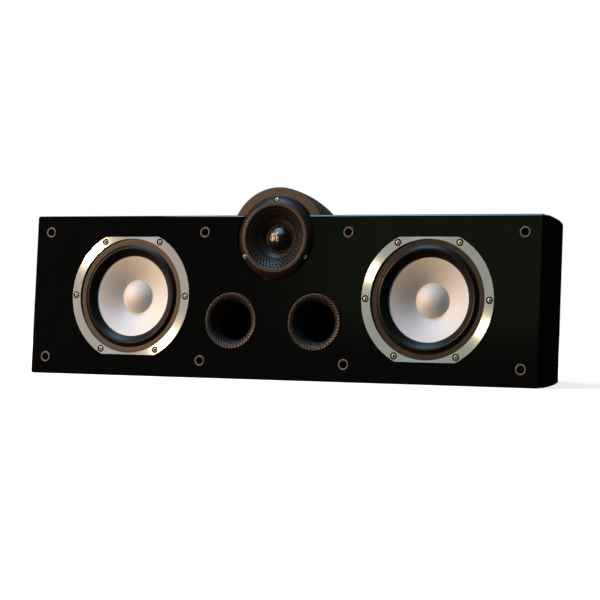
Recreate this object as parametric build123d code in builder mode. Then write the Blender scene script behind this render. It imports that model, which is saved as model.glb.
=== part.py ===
from build123d import *

import os
from math import atan2, cos, hypot, pi, radians, sin, sqrt, tan

# Center channel loudspeaker: a leaning cabinet with bowed sides, two woofers, two reflex ports and
# a tweeter in a bullet-shaped pod sunk into the top. Millimetres, +Z up, front to -Y, left is -X,
# origin in the middle of the base.

os.makedirs("parts", exist_ok=True)

# Cabinet
front_width = 608.0
rear_width = 479.0
cabinet_height = 180.0
cabinet_depth = 280.0
side_radius = 1840.0
lean = radians(3.4)
baffle_t = 22.0
panel_t = 16.0
edge_round = 2.5
brace_x = 93.0
brace_t = 14.0
brace_border = 26.0
brace_corner = 14.0

# Fits
fit_gap = 0.3
screw_gap = 0.15
coil_gap = 0.5
glue_gap = 0.1
turn_gap = 0.2
tip_gap = 0.5

# Woofers
woofer_x = 177.8
frame_r = 74.3
frame_cut = 8.0
trim_w = 10.0
trim_t = 2.5
flange_t = 4.0
flange_lap = 5.0
frame_screw_inset = 4.7
frame_screw_count = 6
frame_screw_r = 2.0
frame_head_r = 3.1
frame_head_h = 1.7
frame_screw_len = 18.0
hole_step = 0.2
spoke_count = 6
basket_window_deg = 38.0
basket_neck_r = 43.0
basket_wall = 3.4
basket_foot_w = 14.0
basket_foot_h = 4.0
basket_foot_t = 3.0
window_rise = 1.0
window_hub = 1.5
window_rim = 6.0
window_roof = 2.0
surround_seat_w = -4.0
surround_t = 1.0
surround_rim_w = 6.3
surround_rim_lift = 0.4
roll_w = 12.0
roll_rise = 4.6
cone_lap = 0.8
cone_rim_w = -5.9
cone_neck_w = -20.5
cone_flare = 1.4
cone_t = 0.7
coil_r = 16.5
former_t = 0.5
winding_t = 0.7
winding_len = 12.0
cap_r = 18.8
cap_rise = 9.0
cap_t = 0.6
spider_w = -31.0
spider_r = 39.3
spider_t = 0.6
spider_wave = 1.4
spider_waves = 3
spider_hub_w = 3.0
spider_rim_w = 3.5
spider_lap = 2.5
plate_w = -40.0
motor_plate_t = 6.0
motor_plate_r = 41.0
magnet_r = 45.0
magnet_hole_r = 23.0
magnet_h = 16.0
pole_vent_r = 5.0

# Tweeter and its pod
tweeter_drop = 24.7
faceplate_r = 46.0
faceplate_t = 4.0
plate_edge_t = 0.8
plate_slope_w = 7.4
plate_bulge = 0.5
horn_lip_w = 4.2
horn_lip_rise = 3.6
throat_r = 15.2
throat_w = -10.0
horn_flare = 0.8
guard_r = 14.4
guard_rise = 8.0
guard_t = 0.5
guard_seat_h = 1.2
guard_ledge = 0.8
dome_r = 12.6
dome_rise = 4.5
dome_t = 0.3
dome_ring_w = 2.4
dome_ring_t = 0.4
dome_ring_dip = 0.9
dome_clamp_w = 4.0
chassis_r = 30.0
chassis_w = -12.0
chassis_step = 4.0
tweeter_plate_t = 4.0
tweeter_plate_step = 1.6
tweeter_ring_room = 0.4
tweeter_magnet_h = 10.0
tweeter_magnet_room = 4.0
tweeter_yoke_step = 1.0
tweeter_pole_drop = 0.6
tweeter_vent_r = 3.0
tweeter_coil_t = 0.3
tweeter_coil_len = 7.0
plate_screw_inset = 4.7
plate_screw_count = 3
plate_screw_r = 1.5
plate_head_r = 2.6
plate_head_h = 2.0
plate_head_w = -0.6
plate_screw_len = 12.0
pod_r = 55.8
pod_len = 160.0
pod_nose_r = 25.0
pod_wall = 3.0
pod_ring_t = 4.0
pod_boss_wall = 2.0
pod_screw_land = 4.1
lug_reach = 64.0
lug_len = 26.0
lug_t = 4.0
lug_back = 62.0
lug_corner = 5.0
lug_screw_inset = 7.0
lug_screw_r = 1.8
lug_screw_len = 15.0

# Reflex ports
port_x = 50.0
port_rise = 63.8
port_r = 21.0
port_wall = 2.5
port_len = 112.0
flare_r = 31.3
flare_depth = 13.0
flare_proud = 1.4
flare_seat = 3.0
flare_foot_w = 4.0
flare_back = 1.0
flare_lip_w = 1.5
flare_skirt = 0.2

# Grille sockets
socket_side = 20.0
socket_inset = 19.0
socket_inner_x = 86.2
socket_rim_r = 6.2
socket_body_r = 4.9
socket_hole_r = 3.5
socket_proud = 1.4
socket_len = 11.0
socket_floor = 2.0
socket_edge = 0.4

# Rear terminals
terminal_rise = 78.0
cup_w = 96.0
cup_h = 68.0
cup_corner = 10.0
cup_border = 12.0
cup_flange_t = 3.0
cup_depth = 31.0
cup_wall = 2.5
cup_gap = 0.5
cup_screw_r = 1.7
cup_screw_len = 14.0
post_pitch = 30.0
post_boss_r = 8.5
post_boss_h = 3.0
stud_r = 3.0
stud_len = 24.0
stud_tail = 6.0
stud_bevel = 0.6
banana_r = 2.05
banana_depth = 18.0
insert_r = 5.0
insert_len = 9.0
insert_flange = 1.5
knob_r = 8.0
knob_len = 19.0
knob_bevel = 1.0
knob_flutes = 10
flute_r = 1.6
flute_out = 0.6
flute_start = 2.0
nut_r = 5.0
nut_h = 4.0

# Crossover
board_w = 130.0
board_d = 80.0
board_t = 2.0
board_y = 44.0
board_lift = 8.0
board_corner = 3.0
board_screw_inset = 7.0
board_screw_bite = 6.0
standoff_r = 4.0
board_screw_r = 1.5
choke_r = 20.0
choke_core_r = 9.0
choke_h = 18.0
choke_pitch = 65.0
choke_ahead = 8.0
capacitor_r = 8.0
capacitor_h = 24.0
capacitor_round = 1.0
capacitor_pitch = 30.0
capacitor_behind = 26.0
resistor_w = 10.0
resistor_len = 36.0
resistor_h = 9.0
resistor_pitch = 12.0
resistor_ahead = 10.0

# Lengths and levels that follow from the sizes above
front_y = -cabinet_depth / 2
rear_y = cabinet_depth / 2
inner_front_y = front_y + baffle_t / cos(lean)
inner_rear_y = rear_y - panel_t / cos(lean)
baffle_len = cabinet_height / cos(lean)
lean_dir = (0, sin(lean), cos(lean))
woofer_v = baffle_len / 2
tweeter_v = baffle_len - tweeter_drop
rebate = trim_t + flange_t
frame_flat = frame_r - frame_cut
trim_inner_r = frame_r - trim_w
frame_screw_ring = frame_r - frame_screw_inset
woofer_hole_r = trim_inner_r - hole_step
roll_outer_r = trim_inner_r - surround_rim_w
roll_inner_r = roll_outer_r - roll_w
cone_rim_r = roll_inner_r - cone_lap
horn_lip_r = faceplate_r - plate_slope_w
horn_mouth_r = horn_lip_r - horn_lip_w
plate_screw_ring = faceplate_r - plate_screw_inset
pod_mouth_r = plate_screw_ring - pod_screw_land
lug_screw_x = lug_reach - lug_screw_inset
board_screw_w = board_w - 2 * board_screw_inset
board_screw_d = board_d - 2 * board_screw_inset
front_face = Plane(origin=(0, front_y, 0), x_dir=(1, 0, 0), z_dir=(0, -cos(lean), sin(lean)))
rear_face = Plane(origin=(0, rear_y, 0), x_dir=(-1, 0, 0), z_dir=(0, cos(lean), -sin(lean)))

# Centre of the arc that both bowed sides follow in plan
chord_x = (rear_width - front_width) / 2
chord = hypot(chord_x, cabinet_depth)
arc_rise = sqrt(side_radius**2 - (chord / 2) ** 2)
arc_x = (front_width + rear_width) / 4 - arc_rise * cabinet_depth / chord
arc_y = arc_rise * chord_x / chord


def seat_on(face, u, v, w=0.0):
    """Plane parallel to the front or rear face: u across it, v up the lean, w out of it."""
    origin = face.from_local_coords(Vector(u, v, w))
    return Plane(origin=origin, x_dir=face.x_dir, z_dir=face.z_dir)


def turning(seat):
    """Plane through a seat's axis for a turned section: radius across, distance out of the seat up."""
    return Plane(origin=seat.origin, x_dir=seat.x_dir, z_dir=seat.y_dir * -1)


def level(z):
    """Horizontal plane at height z, moved back by the cabinet's lean."""
    return Plane(origin=(0, z * tan(lean), z))


def axis_of(seat):
    """Axis straight out of a seat."""
    return Axis(seat.origin, seat.z_dir)


def side_x(y, inset=0.0):
    """Half width of the bowed cabinet at depth y, inset from its outer skin."""
    return arc_x + sqrt((side_radius - inset) ** 2 - (y - arc_y) ** 2)


def plan_face(y_front, y_back, inset=0.0):
    """Plan of the cabinet between two depths, its bowed sides moved in by the inset."""
    y_mid = (y_front + y_back) / 2
    x_front = side_x(y_front, inset)
    x_mid = side_x(y_mid, inset)
    x_back = side_x(y_back, inset)
    with BuildSketch() as plan:
        with BuildLine():
            Line((-x_front, y_front), (x_front, y_front))
            ThreePointArc((x_front, y_front), (x_mid, y_mid), (x_back, y_back))
            Line((x_back, y_back), (-x_back, y_back))
            ThreePointArc((-x_back, y_back), (-x_mid, y_mid), (-x_front, y_front))
        make_face()
    return plan.sketch


def bullet(grow=0.0):
    """Points down the pod's section, a long arc into a round nose, moved out by grow."""
    long_r = (pod_r**2 + pod_len**2 - 2 * pod_len * pod_nose_r) / (2 * (pod_r - pod_nose_r))
    meet = atan2(pod_len - pod_nose_r, long_r - pod_r)
    points = []
    for turn in (0, meet / 2, meet):
        points.append((pod_r - long_r + (long_r + grow) * cos(turn), -(long_r + grow) * sin(turn)))
    turn = (meet + pi / 2) / 2
    reach = pod_nose_r + grow
    points.append((reach * cos(turn), pod_nose_r - pod_len - reach * sin(turn)))
    points.append((0.0, -pod_len - grow))
    return points


def circle_through(a, b, c):
    """Centre and radius of the circle through three points of a section."""
    d = 2 * (a[0] * (b[1] - c[1]) + b[0] * (c[1] - a[1]) + c[0] * (a[1] - b[1]))
    sa = a[0] ** 2 + a[1] ** 2
    sb = b[0] ** 2 + b[1] ** 2
    sc = c[0] ** 2 + c[1] ** 2
    x = (sa * (b[1] - c[1]) + sb * (c[1] - a[1]) + sc * (a[1] - b[1])) / d
    y = (sa * (c[0] - b[0]) + sb * (a[0] - c[0]) + sc * (b[0] - a[0])) / d
    return x, y, hypot(a[0] - x, a[1] - y)


def save(builder, name):
    """Label a finished piece and write it out."""
    builder.part.label = name
    export_step(builder.part, f"parts/{name}.step")


sides = (("left", -1), ("right", 1))
sockets = [
    (sign * x, v)
    for sign in (-1, 1)
    for x in (socket_inner_x, front_width / 2 - socket_side)
    for v in (socket_inset, baffle_len - socket_inset)
]
tweeter_seat = seat_on(front_face, 0, tweeter_v)
pod_seat = seat_on(front_face, 0, tweeter_v, -faceplate_t)
cup_seat = seat_on(rear_face, 0, terminal_rise)

# Front baffle: leaning slab with rounded edges, rebated for the woofers, ports, pod and sockets
with BuildPart() as front_baffle:
    with BuildSketch():
        add(plan_face(front_y, inner_front_y))
    extrude(amount=baffle_len, dir=lean_dir)
    glued_face = front_baffle.faces().sort_by(Axis.Y)[-1]
    fillet(front_baffle.edges() - glued_face.edges(), edge_round)
    for side, sign in sides:
        with BuildSketch(seat_on(front_face, sign * woofer_x, woofer_v)):
            Circle(frame_r + fit_gap)
            Rectangle(3 * frame_r, 2 * (frame_flat + fit_gap), mode=Mode.INTERSECT)
        extrude(amount=-rebate, mode=Mode.SUBTRACT)
        with Locations(seat_on(front_face, sign * woofer_x, woofer_v)):
            Hole(woofer_hole_r)
            with PolarLocations(frame_screw_ring, frame_screw_count):
                Hole(frame_screw_r + screw_gap, frame_screw_len)
        with Locations(seat_on(front_face, sign * port_x, port_rise)):
            CounterBoreHole(flare_r - flare_foot_w + fit_gap, flare_r + fit_gap, flare_seat)
    with Locations([seat_on(front_face, u, v) for u, v in sockets]):
        Hole(socket_body_r + fit_gap, socket_len + fit_gap)
    with Locations(tweeter_seat):
        CounterBoreHole(faceplate_r + fit_gap, faceplate_r + fit_gap, faceplate_t)
    with BuildSketch(pod_seat):
        Circle(pod_r + fit_gap)
    extrude(amount=-baffle_t, mode=Mode.SUBTRACT)
save(front_baffle, "front_baffle")

# Bottom panel between the bowed sides
with BuildPart() as bottom_panel:
    with BuildSketch():
        add(plan_face(inner_front_y, inner_rear_y, panel_t))
    extrude(amount=panel_t / cos(lean), dir=lean_dir)
    for x in (-1, 1):
        for y in (-1, 1):
            post = (x * board_screw_w / 2, board_y + y * board_screw_d / 2, panel_t)
            with Locations(post):
                Hole(board_screw_r + screw_gap, board_screw_bite + tip_gap)
save(bottom_panel, "bottom_panel")

# Top panel, cut where the pod breaks through it
with BuildPart() as top_panel:
    with BuildSketch(level(cabinet_height - panel_t)):
        add(plan_face(inner_front_y, inner_rear_y, panel_t))
    extrude(amount=panel_t / cos(lean), dir=lean_dir)
    with BuildSketch(turning(pod_seat)):
        with BuildLine():
            rim, waist, meet, nose, tip = bullet(fit_gap)
            ThreePointArc(rim, waist, meet)
            ThreePointArc(meet, nose, tip)
            Polyline(tip, (0, 0), rim)
        make_face()
    revolve(axis=axis_of(pod_seat), mode=Mode.SUBTRACT)
    for x in (-1, 1):
        lug = (x * lug_screw_x, front_y + lug_back, cabinet_height - panel_t)
        with Locations(Plane(origin=lug, z_dir=(0, 0, -1))):
            Hole(lug_screw_r + screw_gap, lug_screw_len - lug_t + tip_gap)
save(top_panel, "top_panel")

# Bowed side panels, outer long edges rounded
for side, sign in sides:
    with BuildPart() as side_panel:
        with BuildSketch():
            add(plan_face(inner_front_y, inner_rear_y))
            add(plan_face(inner_front_y, inner_rear_y, panel_t), mode=Mode.SUBTRACT)
            with Locations((sign * front_width / 2, 0)):
                Rectangle(front_width, 2 * cabinet_depth, mode=Mode.INTERSECT)
        extrude(amount=baffle_len, dir=lean_dir)
        skin = side_panel.faces().sort_by(Axis.X)[-1 if sign > 0 else 0]
        long_edges = skin.edges().sort_by(Axis.Z)
        fillet([long_edges[0], long_edges[-1]], edge_round)
    save(side_panel, f"{side}_side_panel")

# Rear panel with the opening for the terminal cup
with BuildPart() as rear_panel:
    with BuildSketch():
        add(plan_face(inner_rear_y, rear_y))
    extrude(amount=baffle_len, dir=lean_dir)
    glued_face = rear_panel.faces().sort_by(Axis.Y)[0]
    fillet(rear_panel.edges() - glued_face.edges(), edge_round)
    with BuildSketch(cup_seat):
        RectangleRounded(
            cup_w - 2 * (cup_border - cup_gap), cup_h - 2 * (cup_border - cup_gap), cup_corner + cup_gap
        )
    extrude(amount=-2 * panel_t, mode=Mode.SUBTRACT)
    with Locations(cup_seat):
        with GridLocations(cup_w - cup_border, cup_h - cup_border, 2, 2):
            Hole(cup_screw_r + screw_gap, cup_screw_len - cup_flange_t + tip_gap)
save(rear_panel, "rear_panel")

# Window braces between the woofers and the middle chamber
for side, sign in sides:
    with BuildPart() as brace:
        z0 = panel_t
        z1 = cabinet_height - panel_t
        with BuildSketch(Plane.YZ.offset(sign * brace_x - brace_t / 2)):
            with BuildLine():
                Polyline(
                    (inner_front_y + z0 * tan(lean), z0),
                    (inner_rear_y + z0 * tan(lean), z0),
                    (inner_rear_y + z1 * tan(lean), z1),
                    (inner_front_y + z1 * tan(lean), z1),
                    close=True,
                )
            make_face()
            with Locations(((inner_front_y + inner_rear_y + (z0 + z1) * tan(lean)) / 2, (z0 + z1) / 2)):
                RectangleRounded(
                    inner_rear_y - inner_front_y - 2 * brace_border,
                    z1 - z0 - 2 * brace_border,
                    brace_corner,
                    mode=Mode.SUBTRACT,
                )
        extrude(amount=brace_t)
    save(brace, f"{side}_brace")

# Tweeter pod: hollow bullet on the baffle's normal, with lugs under the top panel and screw bosses
with BuildPart() as tweeter_pod:
    with BuildSketch(Plane.XY.offset(cabinet_height - panel_t)):
        with Locations((0, front_y + lug_back)):
            RectangleRounded(2 * lug_reach, lug_len, lug_corner)
    extrude(amount=-lug_t)
    with BuildSketch(turning(pod_seat)):
        with BuildLine():
            rim, waist, meet, nose, tip = bullet(-pod_wall / 2)
            ThreePointArc(rim, waist, meet)
            ThreePointArc(meet, nose, tip)
            Polyline(tip, (0, 0), rim)
        make_face()
    revolve(axis=axis_of(pod_seat), mode=Mode.SUBTRACT)
    with BuildSketch(turning(pod_seat)):
        with BuildLine():
            rim, waist, meet, nose, tip = bullet()
            rim_in, waist_in, meet_in, nose_in, tip_in = bullet(-pod_wall)
            ThreePointArc(rim, waist, meet)
            ThreePointArc(meet, nose, tip)
            Line(tip, tip_in)
            ThreePointArc(tip_in, nose_in, meet_in)
            ThreePointArc(meet_in, waist_in, rim_in)
            Line(rim_in, rim)
        make_face()
        with Locations(((pod_mouth_r + pod_r) / 2 - pod_wall / 4, -pod_ring_t / 2)):
            Rectangle(pod_r - pod_wall / 2 - pod_mouth_r, pod_ring_t)
    revolve(axis=axis_of(pod_seat))
    with BuildSketch(seat_on(front_face, 0, tweeter_v, -faceplate_t - pod_ring_t / 2)):
        with PolarLocations(plate_screw_ring, plate_screw_count, 90):
            Circle(plate_screw_r + pod_boss_wall)
    extrude(amount=-plate_screw_len)
    with Locations(pod_seat):
        with PolarLocations(plate_screw_ring, plate_screw_count, 90):
            Hole(plate_screw_r + screw_gap, plate_screw_len)
    for x in (-1, 1):
        with Locations((x * lug_screw_x, front_y + lug_back, cabinet_height - panel_t)):
            Hole(lug_screw_r + screw_gap, 2 * lug_t)
save(tweeter_pod, "tweeter_pod")

# Screws that hold the pod's lugs under the top panel
with BuildPart() as pod_screws:
    for x in (-1, 1):
        head = (x * lug_screw_x, front_y + lug_back, cabinet_height - panel_t - lug_t)
        with BuildSketch(Plane(origin=head)):
            Circle(2 * lug_screw_r)
        extrude(amount=-lug_screw_r)
        with BuildSketch(Plane(origin=head)):
            Circle(lug_screw_r)
        extrude(amount=lug_screw_len)
save(pod_screws, "pod_screws")

# Tweeter faceplate: sloping rim up to a flat lip, and a short horn, in one moulding
with BuildPart() as tweeter_faceplate:
    with BuildSketch(turning(tweeter_seat)):
        with BuildLine():
            edge_w = plate_edge_t - faceplate_t
            slope_mid = (
                (faceplate_r + horn_lip_r) / 2 + plate_bulge,
                (edge_w + horn_lip_rise) / 2 + plate_bulge,
            )
            horn_mid = (
                (horn_mouth_r + throat_r) / 2,
                (horn_lip_rise + throat_w) / 2 + horn_flare,
            )
            Polyline(
                (throat_r, throat_w),
                (guard_r - guard_ledge, throat_w),
                (guard_r - guard_ledge, chassis_w),
                (chassis_r, chassis_w),
                (chassis_r, chassis_w + chassis_step),
                (pod_mouth_r - fit_gap, -faceplate_t),
                (faceplate_r, -faceplate_t),
                (faceplate_r, edge_w),
            )
            ThreePointArc((faceplate_r, edge_w), slope_mid, (horn_lip_r, horn_lip_rise))
            Line((horn_lip_r, horn_lip_rise), (horn_mouth_r, horn_lip_rise))
            ThreePointArc((horn_mouth_r, horn_lip_rise), horn_mid, (throat_r, throat_w))
        make_face()
    revolve(axis=axis_of(tweeter_seat))
    with Locations(seat_on(front_face, 0, tweeter_v, horn_lip_rise)):
        with PolarLocations(plate_screw_ring, plate_screw_count, 90):
            CounterBoreHole(plate_screw_r + screw_gap, plate_head_r + fit_gap, horn_lip_rise - plate_head_w)
save(tweeter_faceplate, "tweeter_faceplate")

# Domed mesh guard seated in the horn's throat
with BuildPart() as tweeter_guard:
    guard_w = throat_w + guard_seat_h
    guard_in = guard_r - guard_t
    with BuildSketch(turning(tweeter_seat)):
        with BuildLine():
            half = guard_r * 0.6
            cx, cw, cr = circle_through((-guard_r, guard_w), (0, guard_w + guard_rise), (guard_r, guard_w))
            top = guard_w + guard_rise
            ThreePointArc((guard_r, guard_w), (half, cw + sqrt(cr**2 - half**2)), (0, top))
            Line((0, top), (0, top - guard_t))
            half_in = guard_in * 0.6
            r_in = cr - guard_t
            w_in = cw + sqrt(r_in**2 - guard_in**2)
            ThreePointArc((0, top - guard_t), (half_in, cw + sqrt(r_in**2 - half_in**2)), (guard_in, w_in))
            Polyline(
                (guard_in, w_in),
                (guard_in, throat_w),
                (throat_r - glue_gap, throat_w),
                (throat_r - glue_gap, guard_w),
                (guard_r, guard_w),
            )
        make_face()
    revolve(axis=axis_of(tweeter_seat))
save(tweeter_guard, "tweeter_guard")

# Tweeter diaphragm dome
with BuildPart() as tweeter_dome:
    cx, cw, cr = circle_through((-dome_r, chassis_w), (0, chassis_w + dome_rise), (dome_r, chassis_w))
    with BuildSketch(turning(tweeter_seat)):
        with BuildLine():
            half = dome_r / 2
            r_in = cr - dome_t
            rim_in = sqrt(r_in**2 - (chassis_w - cw) ** 2)
            ThreePointArc(
                (dome_r, chassis_w), (half, cw + sqrt(cr**2 - half**2)), (0, chassis_w + dome_rise)
            )
            Line((0, chassis_w + dome_rise), (0, cw + r_in))
            ThreePointArc((0, cw + r_in), (half, cw + sqrt(r_in**2 - half**2)), (rim_in, chassis_w))
            Line((rim_in, chassis_w), (dome_r, chassis_w))
        make_face()
    revolve(axis=axis_of(tweeter_seat))
save(tweeter_dome, "tweeter_dome")

# Tweeter voice coil on its former
with BuildPart() as tweeter_coil:
    with BuildSketch(seat_on(front_face, 0, tweeter_v, chassis_w)):
        Circle(dome_r)
        Circle(dome_r - tweeter_coil_t, mode=Mode.SUBTRACT)
    extrude(amount=-tweeter_coil_len)
save(tweeter_coil, "tweeter_voice_coil")

# Soft ring that carries the dome, clamped under the faceplate
with BuildPart() as tweeter_surround:
    with BuildSketch(turning(tweeter_seat)):
        with BuildLine():
            ring_in = dome_r + fit_gap
            ring_out = dome_r + dome_ring_w
            ring_mid = (ring_in + ring_out) / 2
            ring_w = chassis_w - dome_ring_t
            dip_w = chassis_w - dome_ring_dip
            ThreePointArc((ring_out, chassis_w), (ring_mid, dip_w), (ring_in, chassis_w))
            Line((ring_in, chassis_w), (ring_in, ring_w))
            ThreePointArc((ring_in, ring_w), (ring_mid, ring_w - dome_ring_dip), (ring_out, ring_w))
            Polyline(
                (ring_out, ring_w),
                (ring_out + dome_clamp_w, ring_w),
                (ring_out + dome_clamp_w, chassis_w),
                (ring_out, chassis_w),
            )
        make_face()
    revolve(axis=axis_of(tweeter_seat))
save(tweeter_surround, "tweeter_surround")

# Tweeter motor: front plate, ring magnet, yoke with pole
tweeter_plate_w = chassis_w - dome_ring_t
tweeter_gap_r = dome_r + coil_gap
with BuildPart() as tweeter_plate:
    with BuildSketch(turning(tweeter_seat)):
        with BuildLine():
            Polyline(
                (tweeter_gap_r, tweeter_plate_w - tweeter_plate_step),
                (ring_out + tweeter_ring_room, tweeter_plate_w - tweeter_plate_step),
                (ring_out + tweeter_ring_room, tweeter_plate_w),
                (chassis_r, tweeter_plate_w),
                (chassis_r, tweeter_plate_w - tweeter_plate_t),
                (tweeter_gap_r, tweeter_plate_w - tweeter_plate_t),
                close=True,
            )
        make_face()
    revolve(axis=axis_of(tweeter_seat))
save(tweeter_plate, "tweeter_front_plate")

tweeter_magnet_w = tweeter_plate_w - tweeter_plate_t
with BuildPart() as tweeter_magnet:
    with BuildSketch(seat_on(front_face, 0, tweeter_v, tweeter_magnet_w)):
        Circle(chassis_r)
        Circle(dome_r + tweeter_magnet_room, mode=Mode.SUBTRACT)
    extrude(amount=-tweeter_magnet_h)
save(tweeter_magnet, "tweeter_magnet")

tweeter_yoke_w = tweeter_magnet_w - tweeter_magnet_h
with BuildPart() as tweeter_yoke:
    with BuildSketch(seat_on(front_face, 0, tweeter_v, tweeter_yoke_w)):
        Circle(chassis_r - tweeter_yoke_step)
    extrude(amount=-tweeter_plate_t)
    with BuildSketch(seat_on(front_face, 0, tweeter_v, tweeter_yoke_w)):
        Circle(dome_r - tweeter_coil_t - coil_gap)
    extrude(amount=tweeter_plate_w - tweeter_yoke_w - tweeter_pole_drop)
    with Locations(tweeter_seat):
        Hole(tweeter_vent_r)
save(tweeter_yoke, "tweeter_yoke")

# Screws in the tweeter faceplate, with hexagon sockets
with BuildPart() as tweeter_screws:
    head_seat = seat_on(front_face, 0, tweeter_v, plate_head_w)
    head_top = seat_on(front_face, 0, tweeter_v, plate_head_w + plate_head_h)
    with BuildSketch(head_seat):
        with PolarLocations(plate_screw_ring, plate_screw_count, 90):
            Circle(plate_head_r)
    extrude(amount=plate_head_h)
    with BuildSketch(head_top):
        with PolarLocations(plate_screw_ring, plate_screw_count, 90):
            RegularPolygon(plate_head_r / 2, 6)
    extrude(amount=-plate_head_h * 0.7, mode=Mode.SUBTRACT)
    with BuildSketch(head_seat):
        with PolarLocations(plate_screw_ring, plate_screw_count, 90):
            Circle(plate_screw_r)
    extrude(amount=-plate_screw_len)
save(tweeter_screws, "tweeter_screws")

# Sections shared by both woofers
cone_mid = ((cone_rim_r + coil_r) / 2, (cone_rim_w + cone_neck_w) / 2 + cone_flare)
cone_x, cone_w, cone_circle = circle_through((cone_rim_r, cone_rim_w), cone_mid, (coil_r, cone_neck_w))
cone_back = sqrt((cone_circle - cone_t) ** 2 - (coil_r - cone_x) ** 2)
cap_w = cone_w + sqrt(cone_circle**2 - (cap_r - cone_x) ** 2)
magnet_w = plate_w - motor_plate_t
yoke_w = magnet_w - magnet_h

for side, sign in sides:
    woofer_u = sign * woofer_x
    woofer_seat = seat_on(front_face, woofer_u, woofer_v)
    woofer_axis = axis_of(woofer_seat)

    # Trim ring: flat metal ring cut off level at top and bottom, flush with the baffle
    with BuildPart() as trim_ring:
        with BuildSketch(woofer_seat):
            Circle(frame_r)
            Rectangle(3 * frame_r, 2 * frame_flat, mode=Mode.INTERSECT)
            Circle(trim_inner_r, mode=Mode.SUBTRACT)
        extrude(amount=-trim_t)
        with Locations(woofer_seat):
            with PolarLocations(frame_screw_ring, frame_screw_count):
                CounterBoreHole(frame_screw_r + screw_gap, frame_head_r + fit_gap, frame_head_h)
    save(trim_ring, f"{side}_trim_ring")

    # Screws through trim ring and basket, with hexagon sockets
    with BuildPart() as frame_screws:
        head_seat = seat_on(front_face, woofer_u, woofer_v, -frame_head_h)
        with BuildSketch(head_seat):
            with PolarLocations(frame_screw_ring, frame_screw_count):
                Circle(frame_head_r)
        extrude(amount=frame_head_h)
        with BuildSketch(woofer_seat):
            with PolarLocations(frame_screw_ring, frame_screw_count):
                RegularPolygon(frame_head_r / 2, 6)
        extrude(amount=-frame_head_h * 0.7, mode=Mode.SUBTRACT)
        with BuildSketch(head_seat):
            with PolarLocations(frame_screw_ring, frame_screw_count):
                Circle(frame_screw_r)
        extrude(amount=frame_head_h - frame_screw_len + tip_gap)
    save(frame_screws, f"{side}_woofer_screws")

    # Basket: flange, windowed cone and the rear ring that takes the motor
    with BuildPart() as basket:
        with BuildSketch(seat_on(front_face, woofer_u, woofer_v, -rebate)):
            Circle(frame_r)
            Rectangle(3 * frame_r, 2 * frame_flat, mode=Mode.INTERSECT)
            Circle(woofer_hole_r - flange_lap, mode=Mode.SUBTRACT)
        extrude(amount=flange_t)
        with BuildSketch(turning(woofer_seat)):
            with BuildLine():
                shelf_r = spider_r - spider_lap
                Polyline(
                    (woofer_hole_r - fit_gap, -rebate),
                    (basket_neck_r, plate_w + basket_foot_h),
                    (basket_neck_r, plate_w),
                    (basket_neck_r - basket_foot_w, plate_w),
                    (basket_neck_r - basket_foot_w, plate_w + basket_foot_t),
                    (shelf_r, plate_w + basket_foot_t),
                    (shelf_r, spider_w),
                    (spider_r + fit_gap, spider_w),
                    (woofer_hole_r - fit_gap - basket_wall, -rebate),
                    close=True,
                )
            make_face()
        revolve(axis=woofer_axis)
        with BuildSketch(woofer_seat):
            Circle(trim_inner_r)
        extrude(amount=surround_seat_w, mode=Mode.SUBTRACT)
        window_w = plate_w + basket_foot_h + window_rise
        with BuildSketch(seat_on(front_face, woofer_u, woofer_v, window_w)):
            with BuildLine():
                turn = radians(basket_window_deg / 2)
                near = basket_neck_r + window_hub
                far = woofer_hole_r - window_rim
                Line((near * cos(turn), near * sin(turn)), (far * cos(turn), far * sin(turn)))
                ThreePointArc(
                    (far * cos(turn), far * sin(turn)), (far, 0), (far * cos(turn), -far * sin(turn))
                )
                Line((far * cos(turn), -far * sin(turn)), (near * cos(turn), -near * sin(turn)))
                ThreePointArc(
                    (near * cos(turn), -near * sin(turn)), (near, 0), (near * cos(turn), near * sin(turn))
                )
            window = make_face()
            with PolarLocations(0, spoke_count - 1, 360 / spoke_count, 360 - 360 / spoke_count):
                add(window)
        extrude(amount=-window_w - rebate - window_roof, mode=Mode.SUBTRACT)
        with Locations(woofer_seat):
            with PolarLocations(frame_screw_ring, frame_screw_count):
                Hole(frame_screw_r + screw_gap)
    save(basket, f"{side}_basket")

    # Rubber surround: half roll between the basket's seat and the cone's rim
    with BuildPart() as surround:
        with BuildSketch(turning(woofer_seat)):
            with BuildLine():
                seat_r = trim_inner_r - fit_gap
                foot_w = surround_seat_w + surround_t
                rim_w = foot_w + surround_rim_lift
                rim_top = cone_rim_w + surround_t
                roll_mid = (roll_outer_r + roll_inner_r) / 2
                crest_w = (foot_w + rim_top) / 2 + roll_rise
                Polyline((seat_r, surround_seat_w), (seat_r, rim_w), (roll_outer_r, foot_w))
                ThreePointArc((roll_outer_r, foot_w), (roll_mid, crest_w), (roll_inner_r, rim_top))
                Polyline(
                    (roll_inner_r, rim_top),
                    (cone_rim_r, rim_top),
                    (cone_rim_r, cone_rim_w),
                    (roll_inner_r + surround_t, cone_rim_w),
                )
                ThreePointArc(
                    (roll_inner_r + surround_t, cone_rim_w),
                    (roll_mid, crest_w - surround_t),
                    (roll_outer_r - surround_t, surround_seat_w),
                )
                Line((roll_outer_r - surround_t, surround_seat_w), (seat_r, surround_seat_w))
            make_face()
        revolve(axis=woofer_axis)
    save(surround, f"{side}_surround")

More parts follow.
